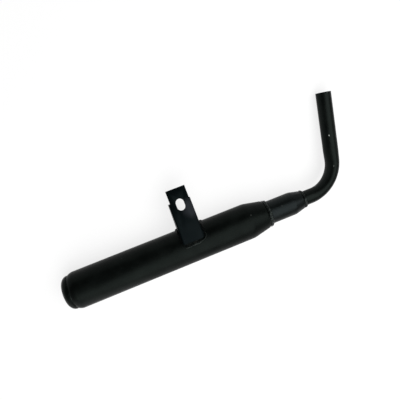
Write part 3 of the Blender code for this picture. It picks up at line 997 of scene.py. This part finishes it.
@dataclass
class Silencer:
    """The shell and its tail cap, with the bead in the groove between them."""

    shop: Workshop
    radius: float = 30.0 * MM
    sheet: float = 1.5 * MM
    edge: float = 0.3 * MM
    straight_end: float = 302.5 * MM
    tail_roll_length: float = 9.0 * MM
    tail_roll_drop: float = 2.9 * MM
    cone_length: float = 28.5 * MM
    cone_end_radius: float = 24.0 * MM
    shoulder_radius: float = 30.0 * MM
    nose_roll: float = 4.0 * MM
    nose_opening: float = 19.9 * MM
    groove: float = 2.0 * MM
    dome_length: float = 11.2 * MM
    dome_steps: int = 18
    skirt_length: float = 9.0 * MM
    outlet_radius: float = 9.8 * MM
    lip_radius: float = 2.5 * MM
    lip_flat: float = 0.01 * MM  # between the lip's rounding and the dome
    collar_length: float = 20.0 * MM
    cap_edge: float = 0.25 * MM
    bead_depth: float = 1.1 * MM  # of its toes, under the shell's tail edge
    bead_root: float = 0.25 * MM  # under the sheet's inner face
    bead_bulge: float = 0.1 * MM
    bead_lift: float = 0.6 * MM
    bead_across: int = 10
    steps: int = 144
    chips_or_painted_highlights: tuple[ChipOrPaintedHighlight, ...] = (
        ChipOrPaintedHighlight((0.0897, 0.0251, 0.0164), 1.0 * MM, 0.05),
        ChipOrPaintedHighlight((0.3041, 0.0149, 0.0260), 1.3 * MM, 0.12),
    )
    finish: BlackPaint = BlackPaint("silencer_black_paint")
    weld_style: WeldStyle = WeldStyle(
        pitch=2.6 * MM, ripple=0.08 * MM, lump=0.25 * MM, lump_length=5.0 * MM, seed=2.0
    )
    weld_paint: PaintedWeld = PaintedWeld("tail_weld_paint")

    def nose(self) -> Corner:
        """The corner of the shell's rolled nose.

        Returns:
            The corner.
        """
        start = Corner(self.straight_end, self.radius)
        end = Corner(self.straight_end + self.cone_length, self.cone_end_radius)
        return roll_corner(start, end, self.nose_roll)

    def tail_edge(self) -> float:
        """The radius of the shell's rolled tail edge."""
        return self.radius - self.tail_roll_drop

    def build_shell(self) -> None:
        """Turns the shell: rolled tail, straight tube, shoulder, cone and rolled nose."""
        length, drop = self.tail_roll_length, self.tail_roll_drop
        roll = (length**2 + drop**2) / (2 * drop)
        bm = draw_profile(
            [
                Corner(0.0, self.tail_edge()),
                Corner(length - roll * tan(asin(length / roll) / 2), self.radius, roll),
                Corner(self.straight_end, self.radius, self.shoulder_radius),
                self.nose(),
                Corner(self.nose().x, self.nose_opening),
            ]
        )
        turn_profile(bm, self.steps)
        finish = self.shop.with_chips_or_painted_highlights(self.finish, self.chips_or_painted_highlights)
        self.shop.sheet_piece("shell_rolled_tube", bm, finish, "silencer_shell", self.sheet, self.edge)

    def build_cap(self) -> None:
        """Turns the cap: collar, turned lip, elliptical dome, and a step down to the skirt."""
        face = -self.groove - self.dome_length
        bm = draw_profile(
            [
                Corner(face + self.collar_length, self.outlet_radius),
                Corner(face, self.outlet_radius, self.lip_radius),
                Corner(face, self.outlet_radius + self.lip_radius + self.lip_flat),
            ]
        )
        rim = max(bm.verts, key=lambda vert: vert.co.y)
        edge = self.sweep_dome(bm, rim)
        skirt = self.tail_edge() - self.sheet - FIT_GAP
        step = bm.verts.new((-self.groove, skirt, 0.0))
        end = bm.verts.new((self.skirt_length, skirt, 0.0))
        bm.edges.new((edge, step))
        bm.edges.new((step, end))
        turn_profile(bm, self.steps)
        dome = min(bm.faces, key=lambda face: face.calc_center_median().x)
        if dome.normal.x > 0:
            bmesh.ops.reverse_faces(bm, faces=bm.faces)
        self.shop.sheet_piece("cap_pressed_dish", bm, self.finish, "tail_cap", self.sheet, self.cap_edge)

    def sweep_dome(self, bm: BMesh, rim: BMVert) -> BMVert:
        """Sweeps the dome's quarter circle from the lip's edge, and stretches it to an ellipse.

        Args:
            bm: The cap's mesh.
            rim: The last point of the lip.

        Returns:
            The dome's last point, at the groove.
        """
        centre = Vector((rim.co.x + self.dome_length, rim.co.y, 0.0))
        swept = bmesh.ops.spin(
            bm,
            geom=[rim],
            cent=centre,
            axis=(0, 0, 1),
            angle=-pi / 2,
            steps=self.dome_steps,
            use_merge=False,
        )
        last = next(item for item in swept["geom_last"] if isinstance(item, BMVert))
        height = (self.tail_edge() - centre.y) / self.dome_length
        dome = [vert for vert in bm.verts if vert.co.y > rim.co.y + MERGE_DISTANCE]
        bmesh.ops.scale(bm, vec=(1.0, height, 1.0), space=Matrix.Translation(-centre), verts=dome)
        return last

    def build_weld(self) -> None:
        """Lays the bead in the groove, fuller on the side towards the bend."""
        top = self.tail_edge() - self.bead_depth
        back = Corner(-self.groove + FIT_GAP, top)
        root = Corner(-self.groove / 2, self.tail_edge() - self.sheet - self.bead_root)
        front = Corner(-FIT_GAP, top)
        seat = ring_seat(back, root, front, self.bead_bulge, self.bead_lift)
        bead = Bead(self.weld_style, seat, 2 * pi * top, closed=True, across=self.bead_across)
        self.shop.piece("cap_weld_bead", bead.mesh(), (self.weld_paint,), Slot.PAINTED_WELD, "tail_weld")

    def build(self) -> None:
        """Builds all three pieces."""
        self.build_shell()
        self.build_cap()
        self.build_weld()


# ---------------------------------------------------------------- expansion tube


@dataclass
class ExpansionTube:
    """The middle tube with its swaged nose, and the bead where it comes out of the shell."""

    shop: Workshop
    shell_nose: float  # the X of the shell's nose
    radius: float = 19.6 * MM
    sheet: float = 1.5 * MM
    edge: float = 0.25 * MM
    overlap: float = 14.0 * MM
    straight: float = 49.0 * MM
    taper_length: float = 16.0 * MM
    taper_end_radius: float = 15.8 * MM
    taper_blend: float = 15.0 * MM
    nose_roll: float = 2.5 * MM
    nose_opening: float = 12.8 * MM
    steps: int = 112
    chips_or_painted_highlights: tuple[ChipOrPaintedHighlight, ...] = (ChipOrPaintedHighlight((0.3599, 0.0076, 0.0181), 1.0 * MM, 0.12),)
    finish: BlackPaint = BlackPaint("expansion_black_paint", sheen_tint=(0.78, 0.96, 1.0), gloss=0.125)
    weld: CornerWeld = CornerWeld(
        leg=6.0 * MM,
        rise=2.0 * MM,
        bulge=1.9 * MM,
        style=WeldStyle(
            pitch=4.5 * MM, ripple=0.25 * MM, lump=1.6 * MM, lump_length=7.0 * MM, peak=0.55, seed=5.0
        ),
        paint=PaintedWeld("expansion_weld_paint", gloss=0.17),
        back=0.2 * MM,
    )

    def nose(self) -> Corner:
        """The corner of the swaged nose.

        Returns:
            The corner.
        """
        start = Corner(self.shell_nose + self.straight, self.radius)
        end = Corner(start.x + self.taper_length, self.taper_end_radius)
        return roll_corner(start, end, self.nose_roll)

    def build_tube(self) -> None:
        """Turns the tube."""
        bm = draw_profile(
            [
                Corner(self.shell_nose - self.overlap, self.radius),
                Corner(self.shell_nose + self.straight, self.radius, self.taper_blend),
                self.nose(),
                Corner(self.nose().x, self.nose_opening),
            ]
        )
        turn_profile(bm, self.steps)
        finish = self.shop.with_chips_or_painted_highlights(self.finish, self.chips_or_painted_highlights)
        self.shop.sheet_piece("expansion_swaged_tube", bm, finish, "expansion_tube", self.sheet, self.edge)

    def build_weld(self) -> None:
        """Lays the bead in the corner between the shell's nose and the tube."""
        bm = self.weld.bead(self.shell_nose, self.radius).mesh()
        paint = (self.weld.paint,)
        self.shop.piece("expansion_weld_bead", bm, paint, Slot.PAINTED_WELD, "expansion_weld")

    def build(self) -> None:
        """Builds both pieces."""
        self.build_tube()
        self.build_weld()


# ---------------------------------------------------------------- header pipe


@dataclass
class HeaderPipe:
    """The bent pipe to the engine, and the bead where it comes out of the expansion tube."""

    shop: Workshop
    tube_nose: float  # the X of the expansion tube's nose
    radius: float = 12.5 * MM
    sheet: float = 1.5 * MM
    edge: float = 0.3 * MM
    overlap: float = 12.0 * MM
    straight: float = 19.0 * MM
    bend_radius: float = 54.5 * MM
    bend_angle: float = radians(80.8)
    leg_length: float = 112.0 * MM
    flattening: float = 0.14
    flattening_run: float = 15.0 * MM  # up the leg, where the pipe is round again
    sides: int = 80
    straight_steps: int = 3
    bend_steps: int = 44
    run_steps: int = 8
    leg_steps: int = 6
    chips_or_painted_highlights: tuple[ChipOrPaintedHighlight, ...] = (
        ChipOrPaintedHighlight((0.4756, 0.0874, 0.0114), 1.3 * MM, 1.0),
        ChipOrPaintedHighlight((0.4675, 0.0367, 0.0130), 1.1 * MM, 0.40),
    )
    finish: BlackPaint = BlackPaint("header_black_paint", gloss=0.08)
    weld: CornerWeld = CornerWeld(
        leg=5.0 * MM,
        rise=1.9 * MM,
        bulge=1.5 * MM,
        style=WeldStyle(
            pitch=4.5 * MM, ripple=0.25 * MM, lump=2.1 * MM, lump_length=4.5 * MM, peak=0.6, seed=4.0
        ),
        paint=PaintedWeld("header_weld_paint", gloss=0.18),
    )

    def build_pipe(self) -> None:
        """Extrudes and spins a ring along the pipe, then flattens it a little in the bend."""
        start = self.tube_nose - self.overlap
        bend_x = self.tube_nose + self.straight
        bm = bmesh.new()
        upright = Matrix.Translation((start, 0, 0)) @ Matrix.Rotation(pi / 2, 4, "Y")
        bmesh.ops.create_circle(bm, segments=self.sides, radius=self.radius, matrix=upright)
        ring = self.extend(bm, bm.edges[:], Vector((bend_x - start, 0, 0)), self.straight_steps)
        swept = bmesh.ops.spin(
            bm,
            geom=ring,
            cent=(bend_x, self.bend_radius, 0),
            axis=(0, 0, 1),
            angle=self.bend_angle,
            steps=self.bend_steps,
        )
        ring = [item for item in swept["geom_last"] if isinstance(item, BMEdge)]
        out = Vector((cos(self.bend_angle), sin(self.bend_angle), 0))
        ring = self.extend(bm, ring, out * self.flattening_run, self.run_steps)
        self.extend(bm, ring, out * (self.leg_length - self.flattening_run), self.leg_steps)
        bmesh.ops.remove_doubles(bm, verts=bm.verts, dist=MERGE_DISTANCE)
        for vert in bm.verts:
            self.flatten(vert, bend_x, out)
        bmesh.ops.recalc_face_normals(bm, faces=bm.faces)
        lowest = min(bm.faces, key=lambda face: face.calc_center_median().z)
        if lowest.normal.z > 0:
            bmesh.ops.reverse_faces(bm, faces=bm.faces)
        finish = self.shop.with_chips_or_painted_highlights(self.finish, self.chips_or_painted_highlights)
        self.shop.sheet_piece("header_bent_pipe", bm, finish, "header_pipe", self.sheet, self.edge)

    def extend(self, bm: BMesh, ring: list[BMEdge], way: Vector, steps: int) -> list[BMEdge]:
        """Extrudes a ring of edges along a straight run.

        Args:
            bm: The mesh.
            ring: The ring's edges.
            way: The run.
            steps: The number of equal steps.

        Returns:
            The edges of the last ring.
        """
        for _ in range(steps):
            made = bmesh.ops.extrude_edge_only(bm, edges=ring)["geom"]
            verts = {item for item in made if isinstance(item, BMVert)}
            bmesh.ops.translate(bm, vec=way / steps, verts=list(verts))
            ring = [item for item in made if isinstance(item, BMEdge) and verts.issuperset(item.verts)]
        return ring

    def flatten(self, vert: BMVert, bend_x: float, out: Vector) -> None:
        """Moves a point of the round pipe to its place on the flattened one.

        Args:
            vert: The point.
            bend_x: The X of the bend's start.
            out: The leg's direction.
        """
        if vert.co.x <= bend_x and vert.co.y < self.bend_radius / 2:
            return
        centre = Vector((bend_x, self.bend_radius, 0))
        level = Vector((vert.co.x, vert.co.y, 0))
        arm = level - centre
        angle = atan2(arm.x, -arm.y)
        if angle <= self.bend_angle:
            middle = centre + arm.normalized() * self.bend_radius
            travelled = self.bend_radius * angle
        else:
            end = centre + Vector((out.y, -out.x, 0)) * self.bend_radius
            run = (level - end).dot(out)
            middle = end + out * run
            travelled = self.bend_radius * self.bend_angle + run
        share = travelled / (self.bend_radius * self.bend_angle + self.flattening_run)
        lost = self.flattening * sin(pi * min(1.0, share))
        vert.co = middle + (level - middle) * (1 - lost) + Vector((0, 0, vert.co.z * (1 + lost)))

    def build_weld(self) -> None:
        """Lays the bead in the corner between the expansion tube's nose and the pipe."""
        bm = self.weld.bead(self.tube_nose, self.radius).mesh()
        self.shop.piece("header_weld_bead", bm, (self.weld.paint,), Slot.PAINTED_WELD, "header_weld")

    def build(self) -> None:
        """Builds both pieces."""
        self.build_pipe()
        self.build_weld()


# ---------------------------------------------------------------- bracket


class Side(Enum):
    """The bracket's two flanges, by their direction along the silencer."""

    TAIL = -1
    HEADER = 1


@dataclass
class Bracket:
    """The folded bracket, and the three beads that hold it on the shell.

    Its own frame has X along the silencer, Y along the plate and Z out of its face.
    """

    shop: Workshop
    shell_radius: float
    place: float = 204.5 * MM  # along the silencer
    roll: float = radians(-8.3)  # from the bend's plane
    width: float = 36.2 * MM
    bottom: float = 7.0 * MM
    corner_radius: float = 5.0 * MM
    edge: float = 0.35 * MM
    plate_rise: float = 0.1 * MM
    plate_reach: float = 7.4 * MM
    plate_bulge: float = 1.4 * MM
    corner_reach: float = 4.2 * MM
    corner_run_on: float = 2.0 * MM  # of the plate's bead, up past its corner
    taper_start: float = 0.8  # of the plate's lower edge, where its bead begins to narrow
    taper_length: float = 0.25  # of that edge
    flange_rise: float = 2.2 * MM
    flange_bulge: float = 0.7 * MM
    tail_reach: tuple[float, float] = (2.6 * MM, 3.6 * MM)  # by the plate and at the flange's foot
    header_reach: tuple[float, float] = (4.0 * MM, 8.0 * MM)
    foot_angle: float = radians(8.0)
    # A large faint lighter patch high on the plate, towards the header: painted highlight.
    painted_highlight_patches: tuple[ChipOrPaintedHighlight, ...] = (ChipOrPaintedHighlight((0.014, 0.058, 0.0328), 20.0 * MM, 0.045),)
    finish: BlackPaint = BlackPaint(
        "bracket_black_paint",
        deep=(0.0014, 0.0025, 0.0029),
        dull=(0.0024, 0.0037, 0.0041),
        sheen_tint=(0.72, 0.95, 1.0),
        # The spots' colour here is that of the painted highlight, a bluish grey.
        bare=(0.32, 0.33, 0.39),
        gloss=0.027,
    )
    plate_style: WeldStyle = WeldStyle(lump=0.6 * MM, skew=2.4, seed=13.0)
    # Its patches are lighter than on the other beads: partly painted highlight along the bead.
    plate_paint_and_painted_highlight: PaintedWeld = PaintedWeld("bracket_weld_paint_and_painted_highlight", worn_or_painted_light=(0.010, 0.011, 0.010), gloss=0.14)
    flange_style: WeldStyle = WeldStyle(lump=0.8 * MM, seed=17.0)
    # Darker than the other weld paints: painted shade on the beads in the corners beside the flanges.
    flange_paint_and_painted_shade: PaintedWeld = PaintedWeld(
        "flange_weld_paint_and_painted_shade",
        colour=(0.0010, 0.0014, 0.0014),
        worn_or_painted_light=(0.0020, 0.0026, 0.0025),
        gloss=0.025,
    )

    def frame(self) -> Matrix:
        """From the bracket's frame to the design lines."""
        return Matrix.Translation((self.place, 0, 0)) @ Matrix.Rotation(self.roll, 4, "X")

    def build_plate(self, node: bpy.types.Object) -> None:
        """Refines the CAD bracket: its faces made whole again and its edges rounded.

        Args:
            node: The CAD node.
        """
        bm = bmesh.new()
        bm.from_mesh(node.data)
        bmesh.ops.remove_doubles(bm, verts=bm.verts, dist=MERGE_DISTANCE)
        bmesh.ops.dissolve_limit(
            bm, angle_limit=FLAT_ANGLE, use_dissolve_boundaries=False, verts=bm.verts, edges=bm.edges
        )
        bm.transform(self.shop.placement.matrix().inverted())
        # The plate's paint, with its patch of painted highlight.
        finish = self.shop.with_chips_or_painted_highlights(self.finish, self.painted_highlight_patches, self.frame())
        obj = self.shop.piece("bracket_folded_plate", bm, (finish,), Slot.BLACK_PAINT, "bracket")
        round_edges(obj, self.edge)

    def seat_radius(self) -> float:
        """The radius that the beads rest on, just clear of the shell."""
        return self.shell_radius + FIT_GAP / 2

    def on_shell(self, place: Vector) -> Vector:
        """The point of the shell's surface that lies under a place in the plate's plane."""
        return Vector((place.x, place.y, sqrt(self.seat_radius() ** 2 - place.y**2)))

    def plate_bead(self) -> Bead:
        """The bead that runs under the plate and up round its rounded corner.

        Returns:
            The bead.
        """
        radius = self.corner_radius
        corner = Vector((self.width / 2 - radius, self.bottom + radius))
        straight = corner.x + self.width / 2
        turned = straight + radius * pi / 2
        length = turned + self.corner_run_on

        def seat(share: float) -> Section:
            """The section at one place.

            Args:
                share: The share of the bead's length.

            Returns:
                The section.
            """
            run = share * length
            if run < straight:
                middle, angle = Vector((run - self.width / 2, corner.y)), -pi / 2
            else:
                middle = corner + Vector((0, max(0.0, run - turned)))
                angle = min(0.0, -pi / 2 + (run - straight) / radius)
            out = Vector((cos(angle), sin(angle)))
            near = middle + out * (radius + FIT_GAP)
            taper = min(1.0, max(0.0, (run / straight - self.taper_start) / self.taper_length))
            toe = near + out * (self.plate_reach + (self.corner_reach - self.plate_reach) * taper)
            root = self.on_shell(near)
            return root + Vector((0, 0, self.plate_rise)), root, self.on_shell(toe), self.plate_bulge

        return Bead(self.plate_style, seat, length, closed=False)

    def flange_bead(self, side: Side, reach: tuple[float, float]) -> Bead:
        """The bead round the foot of one flange.

        Args:
            side: The flange.
            reach: How far it spreads over the shell, at its start and at its end.

        Returns:
            The bead.
        """
        radius = self.seat_radius()
        corner = self.corner_radius if side is Side.HEADER else 0.0
        first = asin((self.bottom + corner + 2 * FIT_GAP) / radius)
        sweep = pi / 2 + self.foot_angle - first
        near, far = reach

        def seat(share: float) -> Section:
            """The section at one place.

            Args:
                share: The share of the bead's length.

            Returns:
                The section.
            """
            angle = first + sweep * share
            radial = Vector((0, sin(angle), cos(angle)))
            root = Vector((side.value * (self.width / 2 + FIT_GAP / 2), 0, 0)) + radial * radius
            toe = root + Vector((side.value * (near + (far - near) * share), 0, 0))
            return root + radial * self.flange_rise, root, toe, self.flange_bulge

        style = replace(self.flange_style, seed=self.flange_style.seed + side.value)
        return Bead(style, seat, radius * sweep, closed=False)

    def build(self, node: bpy.types.Object) -> None:
        """Builds the plate and its beads.

        Args:
            node: The CAD bracket.
        """
        self.build_plate(node)
        tail_bead = self.flange_bead(Side.TAIL, self.tail_reach)
        header_bead = self.flange_bead(Side.HEADER, self.header_reach)
        beads = (
            ("bracket_front_bead", self.plate_bead(), self.plate_paint_and_painted_highlight, "bracket_weld_front"),
            ("bracket_tail_side_bead", tail_bead, self.flange_paint_and_painted_shade, "bracket_weld_tail_side"),
            ("bracket_header_side_bead", header_bead, self.flange_paint_and_painted_shade, "bracket_weld_header_side"),
        )
        for name, bead, paint, stands_for in beads:
            self.shop.piece(name, bead.mesh(), (paint,), Slot.PAINTED_WELD, stands_for, self.frame())


# ---------------------------------------------------------------- what is inside


@dataclass
class Internals:
    """The core, baffles and packing, which keep their CAD shapes."""

    shop: Workshop
    nodes: dict[str, bpy.types.Object]

    def build(self) -> None:
        """Dresses each node."""
        steel = BrushedSteel("brushed_steel", self.shop.placement.roll)
        for name in ("core_tube", "core_sleeve", "core_weld", "sleeve_weld", "rear_baffle", "front_baffle"):
            self.shop.dress(self.nodes[name], steel)
        self.shop.dress(self.nodes["steel_wool_wrap"], SteelWool("curled_steel_wool"))
        self.shop.dress(self.nodes["fibre_packing"], GlassFibre("needled_glass_fibre"))


# ---------------------------------------------------------------- studio


@dataclass(frozen=True)
class Lamp:
    """A soft rectangular lamp that is aimed at the exhaust's middle."""

    name: str
    azimuth: float  # of the lamp, seen from the exhaust
    elevation: float
    size: tuple[float, float]
    power: float
    distance: float = 1.5


@dataclass
class Studio:
    """A pale floor, a dim even room, a long soft lamp overhead, a small one by the tail, and the camera."""

    placement: Placement
    camera_place: Place = (0.15969, 0.25457, 0.60591)  # from the shell's tail edge, along the frame's axes
    camera_turn: Place = (radians(-14.085), radians(-12.580), radians(-18.683))
    lens: float = 36.0
    sensor: float = 36.0
    shift: tuple[float, float] = (-0.00125, 0.00125)
    nearest: float = 10.0 * MM
    floor_reach: float = 6.0
    floor_sides: int = 64
    floor_gap: float = 0.2 * MM
    floor_colour: Colour = (0.9, 0.9, 0.9)
    lamps: tuple[Lamp, ...] = (
        Lamp("long_soft_lamp", radians(-42), radians(72), (2.9, 1.5), 46.0),
        Lamp("tail_soft_lamp", radians(-120), radians(25), (1.6, 1.1), 8.0),
    )
    room_light: float = 0.08
    ceiling: float = 0.03  # as it is seen, over white walls
    wall_top: float = radians(8)  # elevation at which the walls begin to fade into the ceiling
    ceiling_edge: float = radians(22)
    glow: float = 0.8  # share of plain white in the floor as it is seen

    def seen_share(self, sheet: NodeSheet) -> Socket:
        """One for a ray that shows the backdrop, in the picture, a mirror or a pane, and nought for others.

        Args:
            sheet: The node tree that asks.

        Returns:
            The socket with the share.
        """
        path = sheet.add("LightPath")
        seen = path.outputs["Is Camera Ray"]
        for name in ("Is Glossy Ray", "Is Transmission Ray"):
            seen = sheet.combine(seen, path.outputs[name], "MAXIMUM")
        return seen

    def build_floor(self) -> None:
        """Lays the floor, which shows nearly white and keeps a soft shadow."""
        bm = bmesh.new()
        bmesh.ops.create_circle(bm, cap_ends=True, segments=self.floor_sides, radius=self.floor_reach)
        bmesh.ops.translate(bm, vec=(0, 0, -self.floor_gap), verts=bm.verts)
        mesh = finished_mesh("studio_floor", bm)
        sheet = SurfaceSheet("pale_floor")
        sheet.shade(Base_Color=self.floor_colour, Roughness=1.0, Specular_IOR_Level=0.0)
        white = sheet.add("Emission", Strength=1.0).outputs["Emission"]
        share = sheet.combine(self.seen_share(sheet), self.glow, "MULTIPLY")
        mixed = sheet.add("MixShader")
        for index, socket in enumerate((share, sheet.shader.outputs["BSDF"], white)):
            sheet.join(mixed.inputs[index], socket)
        sheet.join(sheet.output.inputs["Surface"], mixed.outputs["Shader"])
        mesh.materials.append(sheet.material)
        link_object("studio_floor", mesh)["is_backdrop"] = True

    def build_room(self) -> None:
        """Sets the room's dim even light, whose walls show white under a dark ceiling."""
        world = bpy.data.worlds.new("studio_room")
        bpy.context.scene.world = world
        world.use_nodes = True
        sheet = NodeSheet(world.node_tree)
        way = sheet.add("SeparateXYZ", Vector=sheet.add("TexCoord").outputs["Generated"])
        low, high = sin(self.wall_top), sin(self.ceiling_edge)
        shown = sheet.spread(way.outputs["Z"], low, high, 1.0, self.ceiling)
        strength = sheet.add("MapRange", Value=self.seen_share(sheet), To_Min=self.room_light, To_Max=shown)
        white = (1.0, 1.0, 1.0, 1.0)
        room = sheet.add("Background", Color=white, Strength=strength.outputs["Result"])
        sheet.add("OutputWorld", Surface=room.outputs["Background"])

    def build_lamp(self, lamp: Lamp) -> None:
        """Hangs a lamp.

        Args:
            lamp: The lamp.
        """
        low, high = (Vector(corner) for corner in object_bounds())
        level = cos(lamp.elevation)
        way = Vector((level * cos(lamp.azimuth), level * sin(lamp.azimuth), sin(lamp.elevation)))
        data = bpy.data.lights.new(lamp.name, "AREA")
        data.shape = "RECTANGLE"
        data.size, data.size_y = lamp.size
        data.energy = lamp.power
        obj = link_object(lamp.name, data)
        obj.location = (low + high) / 2 + way * lamp.distance
        obj.rotation_euler = way.to_track_quat("Z", "Y").to_euler()

    def build_camera(self) -> None:
        """Sets up the camera."""
        data = bpy.data.cameras.new("camera")
        data.lens = self.lens
        data.sensor_width = self.sensor
        data.shift_x, data.shift_y = self.shift
        data.clip_start = self.nearest
        camera = link_object("camera", data)
        camera.location = self.placement.tail + Vector(self.camera_place)
        camera.rotation_euler = self.camera_turn
        bpy.context.scene.camera = camera

    def build(self) -> None:
        """Builds the studio."""
        self.build_floor()
        self.build_room()
        for lamp in self.lamps:
            self.build_lamp(lamp)
        self.build_camera()
        bpy.context.scene.view_settings.view_transform = "Standard"


def main() -> None:
    """Builds every sub-assembly and the studio."""
    logging.basicConfig(level=logging.INFO, format="%(name)s: %(message)s")
    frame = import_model()
    placement = Placement.from_frame(frame["record"])
    shop = Workshop(placement)

    silencer = Silencer(shop)
    silencer.build()
    expansion = ExpansionTube(shop, silencer.nose().x)
    expansion.build()
    HeaderPipe(shop, expansion.nose().x).build()
    Bracket(shop, silencer.radius).build(frame["nodes"]["bracket"])
    Internals(shop, frame["nodes"]).build()
    Studio(placement).build()


if __name__ == "__main__":
    main()
